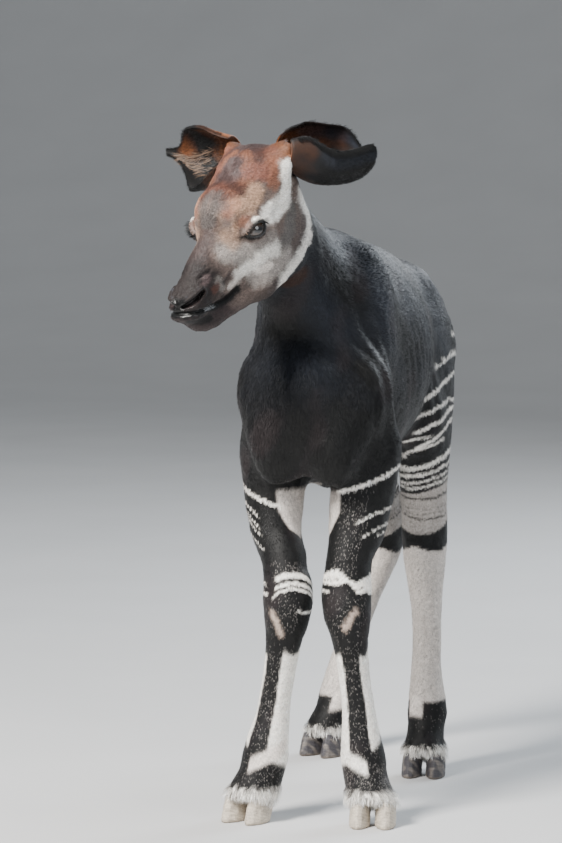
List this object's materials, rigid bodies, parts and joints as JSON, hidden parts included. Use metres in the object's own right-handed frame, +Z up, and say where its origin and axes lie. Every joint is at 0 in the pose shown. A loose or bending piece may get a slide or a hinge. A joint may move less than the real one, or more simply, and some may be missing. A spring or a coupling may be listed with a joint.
{
  "type": "okapi calf",
  "caption": "Life-size standing okapi calf with its head turned aside, dark sleek coat, pale face and white-striped legs.",
  "frame": {"origin": "on the floor under the middle of the whole calf's box", "axes": "+Z up, -Y the way the trunk faces, +X the calf's left"},
  "size_m": [0.3514, 1.0452, 1.0633],
  "materials": {
    "dark_coat": "satin",
    "striped_coat": "satin",
    "face_coat": "satin",
    "ear_coat": "matte",
    "hoof_horn": "satin",
    "eye": "gloss"
  },
  "bodies": {
    "root": {"ear_left": "ear_coat", "ear_right": "ear_coat", "eye_left": "eye", "eye_right": "eye", "foreleg_left_claw_inner": "hoof_horn", "foreleg_left_claw_outer": "hoof_horn", "foreleg_left_foot": "striped_coat", "foreleg_left_shank": "striped_coat", "foreleg_left_upper": "dark_coat", "foreleg_right_claw_inner": "hoof_horn", "foreleg_right_claw_outer": "hoof_horn", "foreleg_right_foot": "striped_coat", "foreleg_right_shank": "striped_coat", "foreleg_right_upper": "dark_coat", "head": "face_coat", "hindleg_left_claw_inner": "hoof_horn", "hindleg_left_claw_outer": "hoof_horn", "hindleg_left_foot": "striped_coat", "hindleg_left_shank": "striped_coat", "hindleg_left_upper": "striped_coat", "hindleg_right_claw_inner": "hoof_horn", "hindleg_right_claw_outer": "hoof_horn", "hindleg_right_foot": "striped_coat", "hindleg_right_shank": "striped_coat", "hindleg_right_upper": "striped_coat", "neck": "dark_coat", "tail": "dark_coat", "torso": "dark_coat"}
  },
  "joints": []
}
